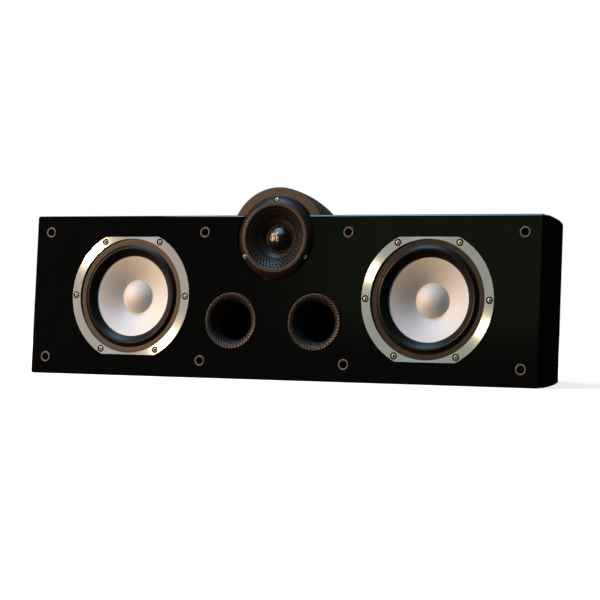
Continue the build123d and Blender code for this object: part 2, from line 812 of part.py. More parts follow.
    # Cone: thin flared shell with a flat rim under the surround
    with BuildPart() as cone:
        with BuildSketch(turning(woofer_seat)):
            with BuildLine():
                neck_r = coil_r + glue_gap
                neck_front = cone_w + sqrt(cone_circle**2 - (neck_r - cone_x) ** 2)
                neck_back = cone_w + sqrt((cone_circle - cone_t) ** 2 - (neck_r - cone_x) ** 2)
                back_w = cone_rim_w - cone_t
                back_rim = cone_x - sqrt((cone_circle - cone_t) ** 2 - (back_w - cone_w) ** 2)
                back_mid = cone_w + sqrt((cone_circle - cone_t) ** 2 - (cone_mid[0] - cone_x) ** 2)
                rim_out = roll_inner_r + surround_t
                ThreePointArc((neck_r, neck_front), cone_mid, (cone_rim_r, cone_rim_w))
                Polyline(
                    (cone_rim_r, cone_rim_w), (rim_out, cone_rim_w), (rim_out, back_w), (back_rim, back_w)
                )
                ThreePointArc((back_rim, back_w), (cone_mid[0], back_mid), (neck_r, neck_back))
                Line((neck_r, neck_back), (neck_r, neck_front))
            make_face()
        revolve(axis=woofer_axis)
    save(cone, f"{side}_cone")

    # Dust cap: shallow dome glued on the cone
    with BuildPart() as dust_cap:
        foot = cap_w + glue_gap
        cx, cw, cr = circle_through((-cap_r, foot), (0, foot + cap_rise), (cap_r, foot))
        with BuildSketch(turning(woofer_seat)):
            with BuildLine():
                half = cap_r / 2
                r_in = cr - cap_t
                rim_in = sqrt(r_in**2 - (foot - cw) ** 2)
                ThreePointArc((cap_r, foot), (half, cw + sqrt(cr**2 - half**2)), (0, foot + cap_rise))
                Line((0, foot + cap_rise), (0, cw + r_in))
                ThreePointArc((0, cw + r_in), (half, cw + sqrt(r_in**2 - half**2)), (rim_in, foot))
                Line((rim_in, foot), (cap_r, foot))
            make_face()
        revolve(axis=woofer_axis)
    save(dust_cap, f"{side}_dust_cap")

    # Voice coil: former tube with the winding centred in the magnet gap
    with BuildPart() as coil:
        gap_mid = plate_w - motor_plate_t / 2
        with BuildSketch(turning(woofer_seat)):
            with BuildLine():
                Polyline(
                    (coil_r - former_t, cone_neck_w),
                    (coil_r, cone_neck_w),
                    (coil_r, gap_mid + winding_len / 2),
                    (coil_r + winding_t, gap_mid + winding_len / 2),
                    (coil_r + winding_t, gap_mid - winding_len / 2),
                    (coil_r - former_t, gap_mid - winding_len / 2),
                    close=True,
                )
            make_face()
        revolve(axis=woofer_axis)
    save(coil, f"{side}_voice_coil")

    # Spider: corrugated cloth disc that centres the coil
    with BuildPart() as spider:
        with BuildSketch(turning(woofer_seat)):
            with BuildLine():
                wave_in = coil_r + spider_hub_w
                wave_out = spider_r - spider_rim_w
                pitch = (wave_out - wave_in) / (2 * spider_waves)
                for w in (spider_w, spider_w + spider_t):
                    for i in range(2 * spider_waves):
                        bulge = spider_wave if i % 2 else -spider_wave
                        r0 = wave_in + i * pitch
                        ThreePointArc((r0, w), (r0 + pitch / 2, w + bulge), (r0 + pitch, w))
                Polyline(
                    (wave_in, spider_w),
                    (coil_r + fit_gap, spider_w),
                    (coil_r + fit_gap, spider_w + spider_t),
                    (wave_in, spider_w + spider_t),
                )
                Polyline(
                    (wave_out, spider_w),
                    (spider_r, spider_w),
                    (spider_r, spider_w + spider_t),
                    (wave_out, spider_w + spider_t),
                )
            make_face()
        revolve(axis=woofer_axis)
    save(spider, f"{side}_spider")

    # Motor: front plate, ferrite ring and yoke with a vented pole
    with BuildPart() as motor_plate:
        with BuildSketch(seat_on(front_face, woofer_u, woofer_v, plate_w)):
            Circle(motor_plate_r)
            Circle(coil_r + winding_t + coil_gap, mode=Mode.SUBTRACT)
        extrude(amount=-motor_plate_t)
    save(motor_plate, f"{side}_front_plate")

    with BuildPart() as magnet:
        with BuildSketch(seat_on(front_face, woofer_u, woofer_v, magnet_w)):
            Circle(magnet_r)
            Circle(magnet_hole_r, mode=Mode.SUBTRACT)
        extrude(amount=-magnet_h)
    save(magnet, f"{side}_magnet")

    with BuildPart() as yoke:
        with BuildSketch(seat_on(front_face, woofer_u, woofer_v, yoke_w)):
            Circle(motor_plate_r)
        extrude(amount=-motor_plate_t)
        with BuildSketch(seat_on(front_face, woofer_u, woofer_v, yoke_w)):
            Circle(coil_r - former_t - coil_gap)
        extrude(amount=plate_w - yoke_w)
        with Locations(woofer_seat):
            Hole(pole_vent_r)
    save(yoke, f"{side}_yoke")

    # Reflex port: flared mouth and tube in one moulding
    port_seat = seat_on(front_face, sign * port_x, port_rise)
    with BuildPart() as port:
        with BuildSketch(turning(port_seat)):
            with BuildLine():
                lip_r = flare_r - flare_lip_w
                tube_r = port_r + port_wall
                EllipticalCenterArc((lip_r, -flare_depth), lip_r - port_r, flare_depth + flare_proud, 90)
                lip_turn = (flare_r - flare_lip_w / 4, flare_skirt + 2 * (flare_proud - flare_skirt) / 3)
                ThreePointArc((lip_r, flare_proud), lip_turn, (flare_r, flare_skirt))
                Polyline(
                    (flare_r, flare_skirt),
                    (flare_r, -flare_seat),
                    (flare_r - flare_foot_w, -flare_seat),
                    (tube_r, -flare_depth - flare_back),
                    (tube_r, -port_len),
                    (port_r, -port_len),
                    (port_r, -flare_depth),
                )
            make_face()
        revolve(axis=axis_of(port_seat))
    save(port, f"{side}_port")

# Grille sockets pressed into the baffle
with BuildPart() as grille_sockets:
    for u, v in sockets:
        socket_seat = seat_on(front_face, u, v)
        with BuildSketch(turning(socket_seat)):
            with BuildLine():
                rim_mid = (socket_rim_r + socket_hole_r) / 2
                back_w = -socket_len
                hole_w = back_w + socket_floor
                Polyline((0, back_w), (socket_body_r, back_w), (socket_body_r, 0), (socket_rim_r, 0))
                ThreePointArc((socket_rim_r, 0), (rim_mid, socket_proud), (socket_hole_r, socket_edge))
                Polyline((socket_hole_r, socket_edge), (socket_hole_r, hole_w), (0, hole_w), (0, back_w))
            make_face()
        revolve(axis=axis_of(socket_seat))
save(grille_sockets, "grille_sockets")

# Terminal cup: flanged recess in the rear panel with two post bosses
floor_w = -cup_depth
with BuildPart() as terminal_cup:
    with BuildSketch(cup_seat):
        RectangleRounded(cup_w, cup_h, cup_corner)
    extrude(amount=cup_flange_t)
    with BuildSketch(cup_seat):
        RectangleRounded(cup_w - 2 * cup_border, cup_h - 2 * cup_border, cup_corner)
    extrude(amount=floor_w - cup_wall)
    with BuildSketch(seat_on(rear_face, 0, terminal_rise, cup_flange_t)):
        RectangleRounded(
            cup_w - 2 * (cup_border + cup_wall), cup_h - 2 * (cup_border + cup_wall), cup_corner - cup_wall
        )
    extrude(amount=floor_w - cup_flange_t, mode=Mode.SUBTRACT)
    with BuildSketch(seat_on(rear_face, 0, terminal_rise, floor_w)):
        with GridLocations(post_pitch, 0, 2, 1):
            Circle(post_boss_r)
    extrude(amount=post_boss_h)
    with Locations(cup_seat):
        with GridLocations(post_pitch, 0, 2, 1):
            Hole(stud_r + screw_gap)
        with GridLocations(cup_w - cup_border, cup_h - cup_border, 2, 2):
            Hole(cup_screw_r + screw_gap)
save(terminal_cup, "terminal_cup")

# Screws of the terminal cup
with BuildPart() as terminal_screws:
    with BuildSketch(seat_on(rear_face, 0, terminal_rise, cup_flange_t)):
        with GridLocations(cup_w - cup_border, cup_h - cup_border, 2, 2):
            Circle(2 * cup_screw_r)
    extrude(amount=cup_screw_r)
    with BuildSketch(seat_on(rear_face, 0, terminal_rise, cup_flange_t)):
        with GridLocations(cup_w - cup_border, cup_h - cup_border, 2, 2):
            Circle(cup_screw_r)
    extrude(amount=-cup_screw_len)
save(terminal_screws, "terminal_screws")

# Binding posts: stud with a plug socket, clamping insert and fluted knob
boss_w = floor_w + post_boss_h
for name, sign in (("red", 1), ("black", -1)):
    post_u = sign * post_pitch / 2
    post_axis = axis_of(seat_on(rear_face, post_u, terminal_rise))
    post_turning = turning(seat_on(rear_face, post_u, terminal_rise, boss_w))

    with BuildPart() as stud:
        with BuildSketch(post_turning):
            with BuildLine():
                tail = -post_boss_h - cup_wall - nut_h - stud_tail
                Polyline(
                    (0, tail),
                    (stud_r, tail),
                    (stud_r, stud_len - stud_bevel),
                    (stud_r - stud_bevel, stud_len),
                    (banana_r, stud_len),
                    (banana_r, stud_len - banana_depth),
                    (0, stud_len - banana_depth),
                    close=True,
                )
            make_face()
        revolve(axis=post_axis)
    save(stud, f"{name}_post_stud")

    with BuildPart() as insert:
        with BuildSketch(post_turning):
            with BuildLine():
                Polyline(
                    (stud_r + screw_gap, fit_gap),
                    (insert_r + insert_flange, fit_gap),
                    (insert_r + insert_flange, fit_gap + insert_flange),
                    (insert_r, fit_gap + insert_flange),
                    (insert_r, fit_gap + insert_len),
                    (stud_r + screw_gap, fit_gap + insert_len),
                    close=True,
                )
            make_face()
        revolve(axis=post_axis)
    save(insert, f"{name}_post_insert")

    with BuildPart() as knob:
        knob_w = fit_gap + insert_flange + turn_gap
        with BuildSketch(post_turning):
            with BuildLine():
                Polyline(
                    (insert_r + turn_gap, knob_w),
                    (knob_r, knob_w),
                    (knob_r, knob_w + knob_len - knob_bevel),
                    (knob_r - knob_bevel, knob_w + knob_len),
                    (stud_r + fit_gap, knob_w + knob_len),
                    (stud_r + fit_gap, fit_gap + insert_len + turn_gap),
                    (insert_r + turn_gap, fit_gap + insert_len + turn_gap),
                    close=True,
                )
            make_face()
        revolve(axis=post_axis)
        with BuildSketch(seat_on(rear_face, post_u, terminal_rise, boss_w + knob_w + flute_start)):
            with PolarLocations(knob_r + flute_out, knob_flutes):
                Circle(flute_r)
        extrude(amount=knob_len, mode=Mode.SUBTRACT)
    save(knob, f"{name}_post_knob")

# Hexagon nuts that hold the studs from inside
with BuildPart() as post_nuts:
    with BuildSketch(seat_on(rear_face, 0, terminal_rise, floor_w - cup_wall)):
        with GridLocations(post_pitch, 0, 2, 1):
            RegularPolygon(nut_r, 6)
            Circle(stud_r + screw_gap, mode=Mode.SUBTRACT)
    extrude(amount=-nut_h)
save(post_nuts, "post_nuts")

# Crossover board on standoffs over the bottom panel
board_z = panel_t + board_lift
parts_z = board_z + board_t
with BuildPart() as board:
    with BuildSketch(Plane.XY.offset(board_z)):
        with Locations((0, board_y)):
            RectangleRounded(board_w, board_d, board_corner)
            with GridLocations(board_screw_w, board_screw_d, 2, 2):
                Circle(board_screw_r + screw_gap, mode=Mode.SUBTRACT)
    extrude(amount=board_t)
save(board, "crossover_board")

with BuildPart() as standoffs:
    with BuildSketch(Plane.XY.offset(panel_t)):
        with Locations((0, board_y)):
            with GridLocations(board_screw_w, board_screw_d, 2, 2):
                Circle(standoff_r)
                Circle(board_screw_r + screw_gap, mode=Mode.SUBTRACT)
    extrude(amount=board_lift)
save(standoffs, "crossover_standoffs")

with BuildPart() as board_screws:
    with BuildSketch(Plane.XY.offset(parts_z)):
        with Locations((0, board_y)):
            with GridLocations(board_screw_w, board_screw_d, 2, 2):
                Circle(2 * board_screw_r)
    extrude(amount=board_screw_r)
    with BuildSketch(Plane.XY.offset(parts_z)):
        with Locations((0, board_y)):
            with GridLocations(board_screw_w, board_screw_d, 2, 2):
                Circle(board_screw_r)
    extrude(amount=-board_t - board_lift - board_screw_bite)
save(board_screws, "crossover_screws")

# Crossover chokes, capacitors and resistors
with BuildPart() as chokes:
    with BuildSketch(Plane.XY.offset(parts_z)):
        with Locations((0, board_y - choke_ahead)):
            with GridLocations(choke_pitch, 0, 2, 1):
                Circle(choke_r)
                Circle(choke_core_r, mode=Mode.SUBTRACT)
    extrude(amount=choke_h)
save(chokes, "crossover_chokes")

with BuildPart() as capacitors:
    with BuildSketch(Plane.XY.offset(parts_z)):
        with Locations((0, board_y + capacitor_behind)):
            with GridLocations(capacitor_pitch, 0, 3, 1):
                Circle(capacitor_r)
    extrude(amount=capacitor_h)
    fillet(capacitors.edges().group_by(Axis.Z)[-1], capacitor_round)
save(capacitors, "crossover_capacitors")

with BuildPart() as resistors:
    with BuildSketch(Plane.XY.offset(parts_z)):
        with Locations((0, board_y - resistor_ahead)):
            with GridLocations(resistor_pitch, 0, 2, 1):
                Rectangle(resistor_w, resistor_len)
    extrude(amount=resistor_h)
save(resistors, "crossover_resistors")
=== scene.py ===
import math

import bmesh
import bpy
import numpy as np
from mathutils import Matrix, Vector


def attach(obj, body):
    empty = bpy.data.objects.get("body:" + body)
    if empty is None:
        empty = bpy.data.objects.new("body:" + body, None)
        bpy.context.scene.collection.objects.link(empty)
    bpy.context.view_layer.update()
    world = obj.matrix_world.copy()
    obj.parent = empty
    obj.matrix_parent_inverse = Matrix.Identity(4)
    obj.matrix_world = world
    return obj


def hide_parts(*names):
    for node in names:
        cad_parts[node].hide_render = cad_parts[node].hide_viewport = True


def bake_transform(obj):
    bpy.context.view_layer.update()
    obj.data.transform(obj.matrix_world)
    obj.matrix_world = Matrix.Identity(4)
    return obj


# Center channel speaker: gloss black cabinet, silver woofers, horn tweeter in a bullet pod.
# Metres, +Z up, front to -Y; the front and everything on it leans back by a few degrees.
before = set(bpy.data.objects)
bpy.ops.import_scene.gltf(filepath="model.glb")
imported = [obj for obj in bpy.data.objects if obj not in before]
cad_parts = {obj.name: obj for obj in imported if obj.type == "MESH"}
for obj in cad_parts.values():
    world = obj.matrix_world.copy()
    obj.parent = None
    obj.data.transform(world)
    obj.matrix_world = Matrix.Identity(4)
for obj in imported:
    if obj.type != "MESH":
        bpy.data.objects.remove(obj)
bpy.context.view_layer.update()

# Camera: a long lens a little to the right of the speaker and level with its lower half,
# rolled by one degree, as the photograph was taken.
camera_place = (0.9111, -2.0881, 0.0704)
yaw, pitch, roll = math.radians(24.23), math.radians(0.46), math.radians(1.0)
camera = bpy.data.objects.new("camera", bpy.data.cameras.new("camera"))
camera.data.lens = 118.82
camera.data.sensor_width = 36.0
camera.matrix_world = (
    Matrix.Translation(camera_place)
    @ Matrix.Rotation(yaw, 4, "Z")
    @ Matrix.Rotation(math.pi / 2 + pitch, 4, "X")
    @ Matrix.Rotation(roll, 4, "Z")
)
bpy.context.scene.collection.objects.link(camera)
bpy.context.scene.camera = camera
bpy.context.scene.view_settings.view_transform = "Standard"


# Studio: a white sweep that only the camera sees, so the black lacquer mirrors a dim room;
# a warm lamp at the left and a cool one overhead, as the glints in the photograph show,
# and behind the speaker a pale glow high and low, and a lamp that the lacquer doesn't mirror.
def ramp(tree, source, over, to, kind="SMOOTHSTEP"):
    """Node that maps source from the range over to the range to, eased or straight."""
    node = tree.nodes.new("ShaderNodeMapRange")
    node.interpolation_type = kind
    for socket, value in zip(("From Min", "From Max", "To Min", "To Max"), (*over, *to)):
        node.inputs[socket].default_value = value
    tree.links.new(source, node.inputs["Value"])
    return node.outputs["Result"]


def worked(tree, operation, *values):
    """Math node over sockets or plain numbers."""
    node = tree.nodes.new("ShaderNodeMath")
    node.operation = operation
    for i, value in enumerate(values):
        if isinstance(value, bpy.types.NodeSocket):
            tree.links.new(value, node.inputs[i])
        else:
            node.inputs[i].default_value = value
    return node.outputs[0]


def mixed(tree, share, first, second):
    """Node that goes from the first colour to the second by a share, on the Mix node's colour sockets."""
    node = tree.nodes.new("ShaderNodeMix")
    node.data_type = "RGBA"
    node.inputs[6].default_value = first
    node.inputs[7].default_value = second
    tree.links.new(share, node.inputs["Factor"])
    return node.outputs[2]


dim_room, lit_window = (0.014, 0.019, 0.019, 1), (0.072, 0.092, 0.050, 1)
window_way = (-0.29, -0.947, 0.14)
world = bpy.data.worlds.new("studio")
bpy.context.scene.world = world
world.use_nodes = True
tree = world.node_tree
tree.nodes.clear()
look = tree.nodes.new("ShaderNodeTexCoord").outputs["Generated"]
split = tree.nodes.new("ShaderNodeSeparateXYZ")
tree.links.new(look, split.inputs[0])
window = tree.nodes.new("ShaderNodeVectorMath")
window.operation = "DOT_PRODUCT"
window.inputs[1].default_value = window_way
tree.links.new(look, window.inputs[0])
in_window = ramp(tree, window.outputs["Value"], over=(0.987, 0.997), to=(0.0, 1.0))
over_table = ramp(tree, split.outputs["Z"], over=(0.088, 0.118), to=(0.05, 1.0))
room = mixed(tree, worked(tree, "MULTIPLY", in_window, over_table), dim_room, lit_window)
room_light = tree.nodes.new("ShaderNodeBackground")
tree.links.new(room, room_light.inputs["Color"])
fades_behind = ramp(tree, split.outputs["Y"], over=(-0.45, 0.25), to=(1.0, 0.06), kind="LINEAR")
tree.links.new(fades_behind, room_light.inputs["Strength"])
rear_glow = tree.nodes.new("ShaderNodeBackground")
rear_glow.inputs["Color"].default_value = (0.92, 0.96, 1.0, 1)
steep = worked(tree, "ABSOLUTE", split.outputs["Z"])
high_or_low = ramp(tree, steep, over=(0.15, 0.55), to=(0.0, 0.32))
is_behind = ramp(tree, split.outputs["Y"], over=(0.05, 0.35), to=(0.0, 1.0))
tree.links.new(worked(tree, "MULTIPLY", high_or_low, is_behind), rear_glow.inputs["Strength"])
both = tree.nodes.new("ShaderNodeAddShader")
tree.links.new(room_light.outputs[0], both.inputs[0])
tree.links.new(rear_glow.outputs[0], both.inputs[1])
white = tree.nodes.new("ShaderNodeBackground")
white.inputs["Color"].default_value = (1, 1, 1, 1)
seen = tree.nodes.new("ShaderNodeLightPath")
choose = tree.nodes.new("ShaderNodeMixShader")
tree.links.new(seen.outputs["Is Camera Ray"], choose.inputs["Fac"])
tree.links.new(both.outputs[0], choose.inputs[1])
tree.links.new(white.outputs[0], choose.inputs[2])
tree.links.new(choose.outputs[0], tree.nodes.new("ShaderNodeOutputWorld").inputs["Surface"])

floor_half, floor_dim, floor_pale = 6.0, (0.10, 0.10, 0.10, 1), (0.85, 0.85, 0.85, 1)
floor_corners = [(floor_half * x, floor_half * y, 0) for x, y in ((-1, -1), (1, -1), (1, 1), (-1, 1))]
floor_mesh = bpy.data.meshes.new("floor")
floor_mesh.from_pydata(floor_corners, [], [(0, 1, 2, 3)])
floor = bpy.data.objects.new("floor", floor_mesh)
bpy.context.scene.collection.objects.link(floor)
white_sweep = bpy.data.materials.new("white_sweep")
white_sweep.use_nodes = True
tree = white_sweep.node_tree
shader = tree.nodes["Principled BSDF"]
shader.inputs["Roughness"].default_value = 0.9
shader.inputs["Specular IOR Level"].default_value = 0.0
shader.inputs["Emission Color"].default_value = (1, 1, 1, 1)
seen = tree.nodes.new("ShaderNodeLightPath")
tone = mixed(tree, seen.outputs["Is Camera Ray"], floor_dim, floor_pale)
tree.links.new(tone, shader.inputs["Base Color"])
reach = tree.nodes.new("ShaderNodeVectorMath")
reach.operation = "LENGTH"
tree.links.new(tree.nodes.new("ShaderNodeTexCoord").outputs["Object"], reach.inputs[0])
lift = ramp(tree, reach.outputs["Value"], over=(0.35, 1.3), to=(0.72, 1.05), kind="LINEAR")
lift = worked(tree, "MULTIPLY", lift, seen.outputs["Is Camera Ray"])
tree.links.new(lift, shader.inputs["Emission Strength"])
unseen = tree.nodes.new("ShaderNodeMixShader")
tree.links.new(seen.outputs["Is Glossy Ray"], unseen.inputs["Fac"])
tree.links.new(shader.outputs[0], unseen.inputs[1])
tree.links.new(tree.nodes.new("ShaderNodeBsdfTransparent").outputs[0], unseen.inputs[2])
tree.links.new(unseen.outputs[0], tree.nodes["Material Output"].inputs["Surface"])
floor_mesh.materials.append(white_sweep)

front_middle = (0.0, -0.14, 0.09)


def add_lamp(name, place, size, power, colour):
    """Elliptical area lamp of the given size at place, facing the middle of the front."""
    data = bpy.data.lights.new(name, "AREA")
    data.shape = "ELLIPSE"
    data.size, data.size_y = size
    data.energy = power
    data.color = colour
    lamp = bpy.data.objects.new(name, data)
    lamp.location = place
    facing = Vector(front_middle) - Vector(place)
    lamp.rotation_euler = facing.to_track_quat("-Z", "Y").to_euler()
    bpy.context.scene.collection.objects.link(lamp)
    return lamp


add_lamp("warm_lamp", place=(-2.13, -2.10, 0.96), size=(0.28, 0.28), power=108, colour=(1.0, 0.60, 0.34))
add_lamp("cool_lamp", place=(-0.60, -0.75, 2.0), size=(1.2, 0.8), power=31, colour=(0.36, 0.67, 1.0))
rear_fill = add_lamp(
    "rear_fill", place=(-0.9, 2.0, 1.6), size=(2.2, 1.5), power=30, colour=(1.0, 0.97, 0.92)
)
rear_fill.visible_glossy = False


# Cabinet: fibreboard box in polished black lacquer, leaning back, with bowed sides.
# The lacquer is almost flat, with a trace of orange peel and a little settled dust;
# the two braces inside are bare board.
def new_group(name, inputs, outputs):
    """Empty shader node group with named sockets; returns it with its input and output nodes."""
    group = bpy.data.node_groups.new(name, "ShaderNodeTree")
    kinds = {"Color": "NodeSocketColor", "Normal": "NodeSocketVector", "Centre": "NodeSocketVector"}
    for direction, sockets in (("INPUT", inputs), ("OUTPUT", outputs)):
        for socket in sockets:
            kind = kinds.get(socket, "NodeSocketFloat")
            group.interface.new_socket(name=socket, in_out=direction, socket_type=kind)
    return group, group.nodes.new("NodeGroupInput"), group.nodes.new("NodeGroupOutput")


def scaled(tree, colour, share):
    """Node that multiplies a colour by a share."""
    node = tree.nodes.new("ShaderNodeVectorMath")
    node.operation = "SCALE"
    tree.links.new(colour, node.inputs[0])
    tree.links.new(share, node.inputs["Scale"])
    return node.outputs[0]


def grain_group():
    """Node group: fine noise plus slow cloud swing a colour and a roughness about their mean,
    and the fine noise gives a bump normal."""
    inputs = ("Color", "Spread", "Roughness", "Roughness Spread", "Scale", "Bump")
    group, given, result = new_group("surface_grain", inputs, ("Color", "Roughness", "Normal"))
    place = group.nodes.new("ShaderNodeTexCoord").outputs["Object"]
    noise, cloud = group.nodes.new("ShaderNodeTexNoise"), group.nodes.new("ShaderNodeTexNoise")
    noise.inputs["Detail"].default_value = 4
    cloud.inputs["Scale"].default_value = 28
    group.links.new(place, noise.inputs["Vector"])
    group.links.new(place, cloud.inputs["Vector"])
    group.links.new(given.outputs["Scale"], noise.inputs["Scale"])
    swing = worked(group, "ADD", noise.outputs["Fac"], cloud.outputs["Fac"])
    swing = worked(group, "SUBTRACT", swing, 1.0)
    gain = worked(group, "MULTIPLY_ADD", swing, given.outputs["Spread"], 1.0)
    rough_sockets = given.outputs["Roughness Spread"], given.outputs["Roughness"]
    rough = worked(group, "MULTIPLY_ADD", swing, *rough_sockets)
    bump = group.nodes.new("ShaderNodeBump")
    bump.inputs["Distance"].default_value = 0.0004
    group.links.new(given.outputs["Bump"], bump.inputs["Strength"])
    group.links.new(noise.outputs["Fac"], bump.inputs["Height"])
    group.links.new(scaled(group, given.outputs["Color"], gain), result.inputs["Color"])
    group.links.new(rough, result.inputs["Roughness"])
    group.links.new(bump.outputs[0], result.inputs["Normal"])
    return group


grain = grain_group()


def grained(name, colour, spread, rough, rough_spread, scale, bump, metallic=0.0, specular=0.5):
    """Principled material whose colour, roughness and normal come from the surface_grain group."""
    material = bpy.data.materials.new(name)
    material.use_nodes = True
    nodes, links = material.node_tree.nodes, material.node_tree.links
    shader = nodes["Principled BSDF"]
    shader.inputs["Metallic"].default_value = metallic
    shader.inputs["Specular IOR Level"].default_value = specular
    node = nodes.new("ShaderNodeGroup")
    node.node_tree = grain
    node.name = "grain"
    node.inputs["Color"].default_value = (*colour, 1)
    node.inputs["Spread"].default_value = spread
    node.inputs["Roughness"].default_value = rough
    node.inputs["Roughness Spread"].default_value = rough_spread
    node.inputs["Scale"].default_value = scale
    node.inputs["Bump"].default_value = bump
    links.new(node.outputs["Color"], shader.inputs["Base Color"])
    links.new(node.outputs["Roughness"], shader.inputs["Roughness"])
    links.new(node.outputs["Normal"], shader.inputs["Normal"])
    return material


def dress(material, *nodes):
    """Give CAD nodes a material in every slot they have."""
    for name in nodes:
        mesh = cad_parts[name].data
        for i in range(len(mesh.materials)):
            mesh.materials[i] = material


lacquer = grained(
    "black_lacquer", (0.0020, 0.0021, 0.0021), spread=0.5, rough=0.035, rough_spread=0.03, scale=60,
    bump=0.003
)
lacquer.node_tree.nodes["Principled BSDF"].inputs["Coat Weight"].default_value = 0.6
lacquer.node_tree.nodes["Principled BSDF"].inputs["Coat Roughness"].default_value = 0.02
dress(lacquer, "front_baffle", "top_panel", "bottom_panel", "rear_panel")
dress(lacquer, "left_side_panel", "right_side_panel")
raw_board = grained(
    "raw_board", (0.36, 0.25, 0.14), spread=0.5, rough=0.85, rough_spread=0.1, scale=900, bump=0.4
)
dress(raw_board, "left_brace", "right_brace")

# Crossover: a brown laminate board on plastic standoffs inside the cabinet, screwed down,
# with copper chokes, yellow film capacitors and white cement resistors.
laminate = grained(
    "board_laminate", (0.20, 0.11, 0.04), spread=0.3, rough=0.55, rough_spread=0.1, scale=700, bump=0.1
)
dress(laminate, "crossover_board")
copper = grained(
    "coil_copper", (0.62, 0.28, 0.12), spread=0.3, rough=0.35, rough_spread=0.1, scale=1200, bump=0.3,
    metallic=1.0
)
dress(copper, "crossover_chokes")
film = grained(
    "capacitor_film", (0.50, 0.33, 0.04), spread=0.15, rough=0.25, rough_spread=0.08, scale=500, bump=0.04
)
dress(film, "crossover_capacitors")
cement = grained(
    "resistor_cement", (0.70, 0.68, 0.62), spread=0.2, rough=0.85, rough_spread=0.08, scale=900, bump=0.3
)
dress(cement, "crossover_resistors")
screw_steel = grained(
    "screw_steel", (0.60, 0.56, 0.48), spread=0.3, rough=0.3, rough_spread=0.1, scale=700, bump=0.03,
    metallic=1.0
)
dress(screw_steel, "crossover_screws")
black_moulding = grained(
    "black_moulding", (0.020, 0.020, 0.021), spread=0.3, rough=0.5, rough_spread=0.1, scale=900, bump=0.15
)
dress(black_moulding, "crossover_standoffs")

# Rear terminals: a black moulded cup let into the rear panel and held by black screws,
# with gold-plated studs and inserts under a red and a black plastic knob.
dress(black_moulding, "terminal_cup")
screw_black = grained(
    "screw_black", (0.02, 0.02, 0.02), spread=0.3, rough=0.4, rough_spread=0.1, scale=900, bump=0.1,
    metallic=0.6
)
dress(screw_black, "terminal_screws")
gold = grained(
    "gold_plate", (0.83, 0.58, 0.22), spread=0.12, rough=0.22, rough_spread=0.08, scale=900, bump=0.03,
    metallic=1.0
)
dress(gold, "red_post_stud", "black_post_stud", "red_post_insert", "black_post_insert", "post_nuts")
knob_red = grained(
    "knob_red", (0.42, 0.012, 0.012), spread=0.2, rough=0.18, rough_spread=0.06, scale=600, bump=0.03
)
dress(knob_red, "red_post_knob")
knob_black = grained(
    "knob_black", (0.014, 0.014, 0.014), spread=0.2, rough=0.18, rough_spread=0.06, scale=600, bump=0.03
)
dress(knob_black, "black_post_knob")

# Reflex ports: two black plastic tubes, each moulded in one piece with its flared mouth and
# pressed into the baffle. Staggered rows of small dimples cover the flare and its lip, with shade
# painted into their hollows.
front_y, lean = -140.0, math.radians(3.4)


def on_front(u, v, w):
    """Points of the leaning front, from millimetres to metres: X = u,
    Y = front_y + v sin(lean) - w cos(lean), Z = v cos(lean) + w sin(lean)."""
    u, v, w = np.broadcast_arrays(u, v, w)
    y = front_y + v * math.sin(lean) - w * math.cos(lean)
    z = v * math.cos(lean) + w * math.sin(lean)
    return np.stack((u, y, z), axis=-1) / 1000


def turns(count):
    """Angles of one full turn in count steps."""
    return np.linspace(0, 2 * np.pi, count, endpoint=False)


def quad_surface(name, points, pit_shade=None, closed_rows=False, poles=False):
    """Smooth mesh over grids (..., rows, columns, 3) whose columns close into rings; rows may close
    too. The pit share from 0 to 1, which paints shade into hollows, is kept at each point; points that
    meet at a pole are merged."""
    rows, columns = points.shape[-3:-1]
    grids = points.size // (3 * rows * columns)
    start = np.arange(grids)[:, None, None] * rows * columns
    row = np.arange(rows if closed_rows else rows - 1)[:, None]
    column = np.arange(columns)[None, :]
    below, right = (row + 1) % rows, (column + 1) % columns
    corners = ((row, column), (row, right), (below, right), (below, column))
    faces = np.stack([start + r * columns + c for r, c in corners], axis=-1)
    mesh = bpy.data.meshes.new(name)
    mesh.from_pydata(points.reshape(-1, 3).tolist(), [], faces.reshape(-1, 4).tolist())
    if pit_shade is not None:
        share = np.ascontiguousarray(np.broadcast_to(pit_shade, points.shape[:-1]), dtype=np.float32)
        mesh.attributes.new("pit_shade", "FLOAT", "POINT").data.foreach_set("value", share.ravel())
    if poles:
        welded = bmesh.new()
        welded.from_mesh(mesh)
        bmesh.ops.remove_doubles(welded, verts=welded.verts, dist=1e-7)
        welded.to_mesh(mesh)
        welded.free()
    mesh.polygons.foreach_set("use_smooth", np.ones(len(mesh.polygons), dtype=bool))
    mesh.update()
    piece = bpy.data.objects.new(name, mesh)
    bpy.context.scene.collection.objects.link(piece)
    return piece


def arc(a, b, c, count):
    """Section points on the circle through a, b and c, from a to c."""
    a, b, c = (complex(*p) for p in (a, b, c))
    w = (c - a) / (b - a)
    centre = (b - a) * (w - abs(w) ** 2) / (2j * w.imag) + a
    turn = np.angle((c - centre) / (a - centre))
    middle = np.angle((b - centre) / (a - centre))
    if np.sign(middle) != np.sign(turn) or abs(middle) > abs(turn):
        turn -= np.sign(turn) * 2 * np.pi
    sweep = centre + (a - centre) * np.exp(1j * np.linspace(0, turn, count))
    return np.stack((sweep.real, sweep.imag), axis=-1)


def staggered(angle, along, radius, rows, across):
    """Distance to the nearest of the points that stand in staggered rows, across to a turn:
    hypot(along - row, radius times the angle to the nearest point of that row)."""
    row = np.asarray(rows)[:, None, None]
    step = 2 * np.pi / across
    stagger = (np.arange(len(rows)) % 2)[:, None, None] * step / 2
    off = (angle + stagger + step / 2) % step - step / 2
    return np.hypot(along - row, off * radius).min(axis=0)


